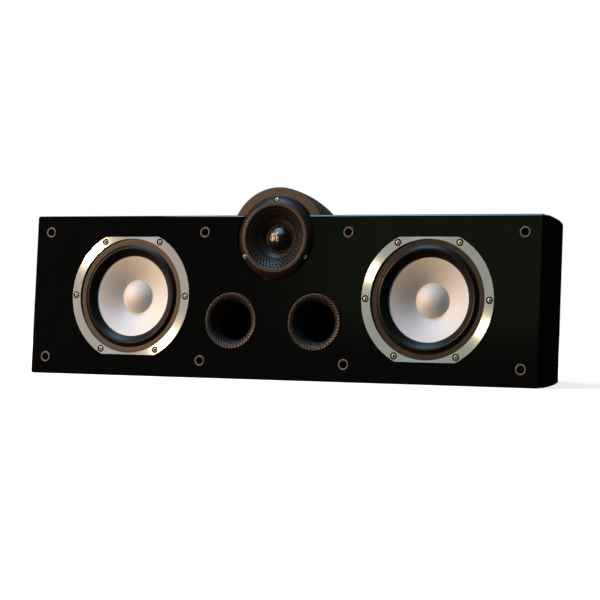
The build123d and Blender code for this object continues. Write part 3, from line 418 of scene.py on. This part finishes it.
def hole_group():
    """Node group: the pit share kept on a mesh darkens a colour with painted shade in the pits, and takes
    away a gloss there.
    """
    group, given, result = new_group("hole_shade", ("Color", "Gloss"), ("Color", "Gloss"))
    pit_shade = group.nodes.new("ShaderNodeAttribute")
    pit_shade.attribute_name = "pit_shade"
    between = worked(group, "SUBTRACT", 1.0, pit_shade.outputs["Fac"])
    group.links.new(scaled(group, given.outputs["Color"], between), result.inputs["Color"])
    gloss = worked(group, "MULTIPLY", given.outputs["Gloss"], between)
    group.links.new(gloss, result.inputs["Gloss"])
    return group


hole_shade = hole_group()


def pit_shaded(material, gloss=0.0, gloss_rough=0.4):
    """Paint shade into the pits of a grained material by darkening them, and lay a coat of the given gloss
    between them.
    """
    nodes, links = material.node_tree.nodes, material.node_tree.links
    shader = nodes["Principled BSDF"]
    shade = nodes.new("ShaderNodeGroup")
    shade.node_tree = hole_shade
    links.new(nodes["grain"].outputs["Color"], shade.inputs["Color"])
    links.new(shade.outputs["Color"], shader.inputs["Base Color"])
    if gloss > 0:
        shade.inputs["Gloss"].default_value = gloss
        links.new(shade.outputs["Gloss"], shader.inputs["Coat Weight"])
        shader.inputs["Coat Roughness"].default_value = gloss_rough
    return material


port_black = grained(
    "port_black", (0.034, 0.029, 0.025), spread=0.3, rough=0.42, rough_spread=0.06, scale=900, bump=0.03,
    specular=0.0
)
pit_shaded(port_black, gloss=1.0, gloss_rough=0.40)
port_u, port_v = {"left": -50.0, "right": 50.0}, 63.8
port_r, tube_r, port_len = 21.0, 23.5, 112.0
lip_r, flare_r, flare_depth, flare_proud = 31.3, 29.8, 13.0, 1.4
lip_rows, flare_rows = 24, 96
dimples_across, dimple_rows, first_row, dimple_pitch = 48, 8, 0.9, 2.15
dimple_r, dimple_depth, dimple_columns = 1.1, 0.45, 14
dimple_shade_gain, dimple_shade_cap = 2.4, 0.9
flange = [(27.3, -3.0), (lip_r, -3.0), (lip_r, -0.1)]
lip = arc((lip_r, 0.2), (30.87, 1.06), (29.9, flare_proud), lip_rows)
bend = np.radians(np.linspace(90, 180, flare_rows))
flare_rise = flare_depth + flare_proud
flare = np.stack((
    flare_r + (flare_r - port_r) * np.cos(bend), -flare_depth + flare_rise * np.sin(bend)
), axis=-1)
bore = [(port_r, -30.0), (port_r, -70.0), (port_r, -port_len)]
tube = [(tube_r, -port_len), (tube_r, -14.0)]
section = np.concatenate((flange, lip, flare, bore, tube))
normal = np.stack((np.gradient(section[:, 1]), -np.gradient(section[:, 0])), axis=-1)
normal /= np.linalg.norm(normal, axis=1, keepdims=True)
along = np.concatenate(([0.0], np.cumsum(np.hypot(*np.diff(section, axis=0).T))))[:, None]
angle = turns(dimples_across * dimple_columns)
rows = along[len(flange), 0] + first_row + dimple_pitch * np.arange(dimple_rows)
gap = staggered(angle, along, section[:, :1], rows, dimples_across)
dimple = np.clip(1 - (gap / dimple_r) ** 2, 0, 1)
radius = section[:, :1] - dimple_depth * dimple * normal[:, :1]
height = section[:, 1:] - dimple_depth * dimple * normal[:, 1:]
# Painted shade: the dimples' hollows are darkened through the pit share.
painted_shade = np.clip(dimple_shade_gain * dimple, 0, dimple_shade_cap)
for side, u in port_u.items():
    grid = on_front(u + radius * np.cos(angle), port_v + radius * np.sin(angle), height)
    port = quad_surface(f"{side}_dimpled_port", grid, painted_shade, closed_rows=True)
    port.data.materials.append(port_black)
    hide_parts(f"{side}_port")
    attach(port, "cabinet")

# Woofer baskets and motors: a black painted casting that carries zinc-plated steel plates,
# a dull ferrite ring and, in its gap, a copper coil. All of it is inside the cabinet.
woofer_u, woofer_v = {"left": -177.8, "right": 177.8}, 90.16
basket_paint = grained(
    "basket_paint", (0.02, 0.02, 0.02), spread=0.4, rough=0.5, rough_spread=0.15, scale=500, bump=0.15
)
dress(basket_paint, "left_basket", "right_basket")
motor_steel = grained(
    "motor_steel", (0.52, 0.51, 0.47), spread=0.2, rough=0.35, rough_spread=0.15, scale=300, bump=0.05,
    metallic=1.0
)
dress(motor_steel, "left_front_plate", "right_front_plate", "left_yoke", "right_yoke")
ferrite = grained(
    "ferrite", (0.035, 0.035, 0.038), spread=0.3, rough=0.75, rough_spread=0.1, scale=800, bump=0.2
)
dress(ferrite, "left_magnet", "right_magnet")
dress(copper, "left_voice_coil", "right_voice_coil")


# Woofer spiders: discs of corrugated yellow cloth behind the cones, held by the basket
# at the rim and glued to the coil's tube at the middle.
def turned(u, v, section, columns):
    """Section of (radius, height) points turned about the front's normal at u, v."""
    angle = turns(columns)
    radius, height = section[:, :1], section[:, 1:]
    return on_front(u + radius * np.cos(angle), v + radius * np.sin(angle), height)


def bend_between(piece, u, v):
    """Bake a turned piece's place into its mesh; points on the front's normal at u, v, 2 mm out
    and 6 mm in, are worked out and left unused."""
    on_front(u, v, 2.0)
    on_front(u, v, -6.0)
    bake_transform(piece)


cloth = grained(
    "spider_cloth", (0.55, 0.42, 0.18), spread=0.35, rough=0.9, rough_spread=0.05, scale=1500, bump=0.5
)
spider_out, spider_in, spider_front, spider_back = 39.3, 16.8, -30.4, -31.0
waves_out, waves_in, wave_h, waves = 35.8, 19.5, 1.4, 3
spider_rows, spider_columns = 90, 96
radius = np.linspace(spider_out, spider_in, spider_rows)
phase = (waves_out - radius) / (waves_out - waves_in)
wave = wave_h * np.sin(2 * np.pi * waves * phase) * ((phase > 0) & (phase < 1))
front_side = np.stack((radius, spider_front + wave), axis=-1)
back_side = np.stack((radius, spider_back + wave), axis=-1)[::-1]
section = np.concatenate((front_side, back_side))
for side, u in woofer_u.items():
    grid = turned(u, woofer_v, section, spider_columns)
    spider = quad_surface(f"{side}_cloth_spider", grid, closed_rows=True)
    spider.data.materials.append(cloth)
    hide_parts(f"{side}_spider")
    bend_between(spider, u, woofer_v)

# Woofer cones and dust caps: pressed and coated satin silver, with the cap glued over the neck.
# They shade softly from cool white below to warm at the right, with no sharp glint.
cone_silver = grained(
    "cone_silver", (0.66, 0.75, 0.81), spread=0.04, rough=0.74, rough_spread=0.05, scale=600, bump=0.02,
    metallic=0.5
)
dress(cone_silver, "left_cone", "right_cone", "left_dust_cap", "right_dust_cap")

# Woofer surrounds: a black rubber half roll with a flat rim outside it. The rim sits on
# the basket and the inner lip on the cone.
rim_rubber = grained(
    "rim_rubber", (0.010, 0.0095, 0.009), spread=0.3, rough=0.42, rough_spread=0.06, scale=900, bump=0.05,
    specular=0.4
)
roll_rubber = grained(
    "roll_rubber", (0.005, 0.005, 0.005), spread=0.3, rough=0.40, rough_spread=0.05, scale=900, bump=0.03,
    specular=0.24
)
crest_r, crest_w, roll_rows, surround_columns = 53.4, 0.6, 45, 160
outer_half, inner_half, outer_drop, inner_drop, roll_power = 4.4, 7.6, 2.35, 5.5, 1.35
rim = [(64.0, -4.0), (64.0, -2.0), (63.9, -1.83), (63.8, -1.8), (63.6, -1.8), (58.6, -1.8), (58.2, -1.84)]
spread = np.linspace(1.0, -1.0, roll_rows)
half_width = np.where(spread > 0, outer_half, inner_half)
drop = np.where(spread > 0, outer_drop, inner_drop) * np.abs(spread) ** roll_power
crest = np.stack((crest_r + half_width * spread, crest_w - drop), axis=-1)
glued_lip = [(45.25, -5.05), (45.2, -5.3), (45.2, -5.9), (47.0, -5.9)]
back_side = [(49.6, -3.0), (53.0, -0.6), (54.4, -1.4), (57.0, -3.95), (57.2, -4.0)]
section = np.concatenate((rim, crest, glued_lip, back_side))
row = np.arange(len(section))
on_roll = (row >= len(rim) - 1) & (row < len(section) - 2)
for side, u in woofer_u.items():
    grid = turned(u, woofer_v, section, surround_columns)
    surround = quad_surface(f"{side}_rubber_surround", grid, closed_rows=True)
    surround.data.materials.append(rim_rubber)
    surround.data.materials.append(roll_rubber)
    which = np.repeat(on_roll.astype(np.int32), surround_columns)
    surround.data.polygons.foreach_set("material_index", which)
    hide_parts(f"{side}_surround")
    bend_between(surround, u, woofer_v)


# Woofer trim rings: flat aluminium rings turned on a lathe and let in flush with the baffle,
# so that each mirrors the lamp as a pair of bright fans across the middle.
def lathe_group():
    """Node group: roughness that changes from ring to ring round a centre, as a turning tool leaves it."""
    group, given, result = new_group("lathe_rings", ("Centre", "Roughness", "Depth"), ("Roughness",))
    arm = group.nodes.new("ShaderNodeVectorMath")
    arm.operation = "DISTANCE"
    group.links.new(group.nodes.new("ShaderNodeTexCoord").outputs["Object"], arm.inputs[0])
    group.links.new(given.outputs["Centre"], arm.inputs[1])
    rings = group.nodes.new("ShaderNodeTexNoise")
    rings.noise_dimensions = "1D"
    rings.inputs["Scale"].default_value = 2600
    group.links.new(arm.outputs["Value"], rings.inputs["W"])
    sockets = rings.outputs["Fac"], given.outputs["Depth"], given.outputs["Roughness"]
    group.links.new(worked(group, "MULTIPLY_ADD", *sockets), result.inputs["Roughness"])
    return group


lathe_rings = lathe_group()
# Painted light: the rings are one aluminium; their bluish cast, which whitens the warm lamp's fans, and the
# right ring's greener tint stand in for how the lamps and room fall on each.
trim_lit_colour = {"left": (0.80, 0.95, 1.0), "right": (0.72, 0.98, 1.0)}
for side, u in woofer_u.items():
    colour, centre = trim_lit_colour[side], on_front(u, woofer_v, 0.0)
    trim = grained(
        f"{side}_turned_aluminium", colour, spread=0.10, rough=0.19, rough_spread=0.05, scale=700, bump=0.015,
        metallic=0.55
    )
    nodes, links = trim.node_tree.nodes, trim.node_tree.links
    shader = nodes["Principled BSDF"]
    shader.inputs["Anisotropic"].default_value = 1.0
    marks = nodes.new("ShaderNodeGroup")
    marks.node_tree = lathe_rings
    marks.inputs["Centre"].default_value = centre
    marks.inputs["Depth"].default_value = 0.10
    links.new(nodes["grain"].outputs["Roughness"], marks.inputs["Roughness"])
    links.new(marks.outputs["Roughness"], shader.inputs["Roughness"])
    outwards = nodes.new("ShaderNodeVectorMath")
    outwards.operation = "SUBTRACT"
    outwards.inputs[1].default_value = centre
    links.new(nodes.new("ShaderNodeTexCoord").outputs["Object"], outwards.inputs[0])
    unit = nodes.new("ShaderNodeVectorMath")
    unit.operation = "NORMALIZE"
    links.new(outwards.outputs[0], unit.inputs[0])
    links.new(unit.outputs[0], shader.inputs["Tangent"])
    dress(trim, f"{side}_trim_ring")

# Woofer screws: zinc-plated button heads with hexagon sockets, six through each trim ring
# and its basket into the baffle. Each sits in a well painted black as shade, whose edge lies as a
# thin dark ring over the trim, and its hexagon socket is painted dark as shade too.
screw_zinc = pit_shaded(grained(
    "screw_zinc", (0.60, 0.63, 0.52), spread=0.2, rough=0.45, rough_spread=0.1, scale=700, bump=0.03,
    metallic=0.7
))
head_columns, crown_rows = 36, 9
socket_share, socket_sink, crown_fall = 0.48, 0.7, 0.45
cup_share, inner_share, floor_sink, well_t = 0.6, 0.35, 0.8, 0.03


def button_heads(name, u, v, top, radius, height, well_r, well_w, shank_r, tip_w):
    """Button-head screws at points u, v, turned from tip to crown: over the crown w falls from top with
    (r / radius)^2, round a hexagon socket, in a well whose edge lies at well_r and well_w. The well
    and the socket are painted dark as shade."""
    angle = turns(head_columns)
    level = np.ones_like(angle)
    hexagon = socket_share * radius / np.cos((angle + np.pi / 6) % (np.pi / 3) - np.pi / 6)
    crown = hexagon + np.linspace(1.0, 0.0, crown_rows)[:, None] * (radius - hexagon)
    crown_w = top - crown_fall * height * (crown / radius) ** 2
    socket = np.stack((hexagon, 0 * level))
    socket_w = np.full_like(socket, top - socket_sink * height)
    cup, inner = radius + cup_share * (well_r - radius), radius + inner_share * (well_r - radius)
    seat, floor_w, under = top - height, top - floor_sink * height, well_w - well_t
    shank = [(0.0, tip_w), (shank_r, tip_w), (shank_r, seat), (cup, seat)]
    painted_shadow_ring = [(cup, under), (well_r, under), (well_r, well_w)]
    shaded_well = painted_shadow_ring + [(inner, well_w), (inner, floor_w), (radius, floor_w)]
    below = np.concatenate((shank, shaded_well))
    r = np.concatenate((below[:, :1] * level, crown, socket))
    w = np.concatenate((below[:, 1:] * level, crown_w, socket_w))
    # Painted shade: the well and the hexagon socket are darkened; the crown and the shank are not.
    painted_shade = np.repeat((0.0, 1.0, 0.0, 1.0), (len(shank), len(shaded_well), len(crown), len(socket)))
    u, v = np.asarray(u)[:, None, None], np.asarray(v)[:, None, None]
    grid = on_front(u + r * np.cos(angle), v + r * np.sin(angle), w)
    piece = quad_surface(name, grid, painted_shade[:, None], poles=True)
    piece.data.materials.append(screw_zinc)
    return piece


screw_ring, around = 69.6, turns(6)
for side, u in woofer_u.items():
    at_u, at_v = u + screw_ring * np.cos(around), woofer_v + screw_ring * np.sin(around)
    heads = button_heads(
        f"{side}_button_screws", at_u, at_v, top=0.0, radius=2.5, height=1.6,
        well_r=3.9, well_w=0.03, shank_r=2.0, tip_w=-17.5
    )
    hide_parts(f"{side}_woofer_screws")
    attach(heads, "cabinet")

# Tweeter pod: a bullet of satin dark plastic sunk through the top panel and the baffle's
# notch, with a flat ring round the tweeter; screws hold it from inside the cabinet.
pod_plastic = grained(
    "pod_plastic", (0.024, 0.021, 0.018), spread=0.3, rough=0.46, rough_spread=0.08, scale=700, bump=0.08,
    specular=0.36
)
dress(pod_plastic, "tweeter_pod")
dress(screw_steel, "pod_screws")

# Tweeter motor: steel plate and yoke, ferrite ring and copper coil inside the pod,
# with a soft black dome on a ring of cloth in front.
dress(motor_steel, "tweeter_front_plate", "tweeter_yoke")
dress(ferrite, "tweeter_magnet")
dress(copper, "tweeter_voice_coil")
dress(cloth, "tweeter_surround")
dome_cloth = grained(
    "dome_cloth", (0.012, 0.012, 0.012), spread=0.3, rough=0.7, rough_spread=0.1, scale=1500, bump=0.3
)
dress(dome_cloth, "tweeter_dome")

# Tweeter faceplate: one black moulding whose rim slopes up to a flat lip round a short horn,
# with rows of small blind holes in the horn's wall, shade painted into them, and three counterbored
# screws in the rim.
horn_satin = grained(
    "horn_satin", (0.014, 0.012, 0.010), spread=0.25, rough=0.41, rough_spread=0.06, scale=800, bump=0.03,
    specular=0.0
)
pit_shaded(horn_satin, gloss=0.64, gloss_rough=0.41)
tweeter_v = 155.62
holes_across, hole_columns, hole_r, hole_edge, hole_depth = 48, 12, 1.05, 0.3, 0.6
hole_rows = (32.6, 29.7, 27.1, 24.8, 22.7)
plate_screw_ring, counterbore_r, counterbore_w = 41.3, 2.9, -0.6
slope_rows, horn_rows = 30, 104
edge = [(46.0, -4.0), (46.0, -3.3)]
slope = arc((46.0, -3.2), (42.8, 0.7), (38.6, 3.6), slope_rows)
lip = [(38.3, 3.68), (37.9, 3.7), (36.5, 3.7), (35.2, 3.7), (34.8, 3.66)]
horn = arc((34.4, 3.4), (24.8, -2.4), (15.2, -10.0), horn_rows)
throat = [(15.2, -10.6), (13.6, -10.6), (13.6, -12.0)]
back_side = [(30.0, -12.0), (30.0, -8.0), (36.9, -4.0)]
section = np.concatenate((edge, slope, lip, horn, throat, back_side))
angle = turns(holes_across * hole_columns)
radius = section[:, :1]
gap = staggered(angle, radius, radius, hole_rows, holes_across)
on_face = (np.arange(len(section)) < len(section) - len(back_side))[:, None]
# The hole share sinks each hole and, kept as the pit share, paints shade into it.
hole_and_shade = np.clip((hole_r - gap) / (hole_edge * hole_r), 0, 1) * on_face
height = section[:, 1:] - hole_depth * hole_and_shade
screw_turns = np.radians((90.0, 210.0, 330.0))
screw_u, screw_v = plate_screw_ring * np.cos(screw_turns), plate_screw_ring * np.sin(screw_turns)
flat_u, flat_v = radius * np.cos(angle), radius * np.sin(angle)
from_screw = np.hypot(flat_u - screw_u[:, None, None], flat_v - screw_v[:, None, None]).min(axis=0)
height = np.where(from_screw < counterbore_r, np.minimum(height, counterbore_w), height)
grid = on_front(flat_u, tweeter_v + flat_v, height)
faceplate = quad_surface("tweeter_horn", grid, hole_and_shade, closed_rows=True)
faceplate.data.materials.append(horn_satin)
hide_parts("tweeter_faceplate")
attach(faceplate, "cabinet")
at_v = tweeter_v + screw_v
heads = button_heads(
    "tweeter_button_screws", screw_u, at_v, top=1.4, radius=2.5, height=2.0,
    well_r=2.85, well_w=-0.2, shank_r=1.5, tip_w=-12.6
)
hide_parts("tweeter_screws")
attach(heads, "cabinet")

# Mesh guard: a dome of fine woven steel over the tweeter, dark, with a pattern of raised
# knots, pressed into a black rim in the throat of the horn. The gaps between the knots are
# painted dark as the shade behind the mesh.
guard_wire = pit_shaded(grained(
    "guard_wire", (0.17, 0.155, 0.15), spread=0.3, rough=0.27, rough_spread=0.08, scale=1500, bump=0.05,
    metallic=1.0
))
guard_r, guard_rise, guard_w, guard_t = 14.3, 7.8, -8.8, 0.4
knot_pitch, knot_h, gap_shade_gain, gap_shade_start = 1.5, 0.12, 1.4, 0.35
guard_columns, back_rows, front_rows = 420, 14, 110
angle = turns(guard_columns)
back_r = np.linspace(0.0, guard_r - guard_t, back_rows)
front_r = np.linspace(guard_r, 0.0, front_rows)
radius = np.concatenate((back_r, front_r))[:, None]
flat_u, flat_v = radius * np.cos(angle), radius * np.sin(angle)
weave = (np.cos(2 * np.pi * flat_u / knot_pitch) + np.cos(2 * np.pi * flat_v / knot_pitch)) / 2
ball_r = (guard_r**2 + guard_rise**2) / (2 * guard_rise)
dome = guard_w + np.sqrt(ball_r**2 - radius**2) - (ball_r - guard_rise)
on_back = (np.arange(len(radius)) < len(back_r))[:, None]
grid = on_front(flat_u, tweeter_v + flat_v, dome + np.where(on_back, -guard_t, knot_h * weave))
# Painted shade: the low points between knots are darkened, where the mesh would show the dark behind it.
painted_shade = np.clip(-gap_shade_gain * weave - gap_shade_start, 0, 1)
guard = quad_surface("tweeter_mesh_guard", grid, painted_shade, poles=True)
guard.data.materials.append(guard_wire)
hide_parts("tweeter_guard")
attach(guard, "cabinet")
rim_columns = 96
section = np.array([(15.1, -10.0), (15.1, -8.9), (14.7, -8.5), (14.2, -8.7), (13.9, -9.2), (13.9, -10.0)])
grid = turned(0.0, tweeter_v, section, rim_columns)
guard_rim = quad_surface("tweeter_guard_rim", grid, closed_rows=True)
guard_rim.data.materials.append(horn_satin)
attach(guard_rim, "cabinet")

# Grille sockets: black rubber grommets with a rounded rim round a deep blind hole, pressed
# into the baffle, four above and four below, for the pegs of a cloth grille. The hole's inside is
# painted dark as shade.
socket_rubber = pit_shaded(grained(
    "socket_rubber", (0.120, 0.104, 0.088), spread=0.3, rough=0.5, rough_spread=0.1, scale=900, bump=0.1
))
socket_u, socket_v, socket_columns = (-284.0, -86.2, 86.2, 284.0), (19.0, 161.317), 48
body = [(0.0, -11.0), (4.9, -11.0), (4.9, 0.0), (6.2, 0.0)]
rounded_rim = [(6.15, 0.45), (5.95, 0.9), (5.5, 1.28), (5.0, 1.4), (4.5, 1.25), (4.1, 0.9), (3.9, 0.4)]
blind_hole = [(3.7, -0.5), (3.5, -9.0), (0.0, -9.0)]
section = np.concatenate((body, rounded_rim, blind_hole))
grid = np.stack([turned(u, v, section, socket_columns) for v in socket_v for u in socket_u])
# Painted shade: the blind hole's wall and floor are darkened through the pit share.
shaded_inside = (np.arange(len(section)) >= len(section) - len(blind_hole) - 1)[:, None]
sockets = quad_surface("rubber_grille_sockets", grid, shaded_inside, poles=True)
sockets.data.materials.append(socket_rubber)
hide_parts("grille_sockets")
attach(sockets, "cabinet")
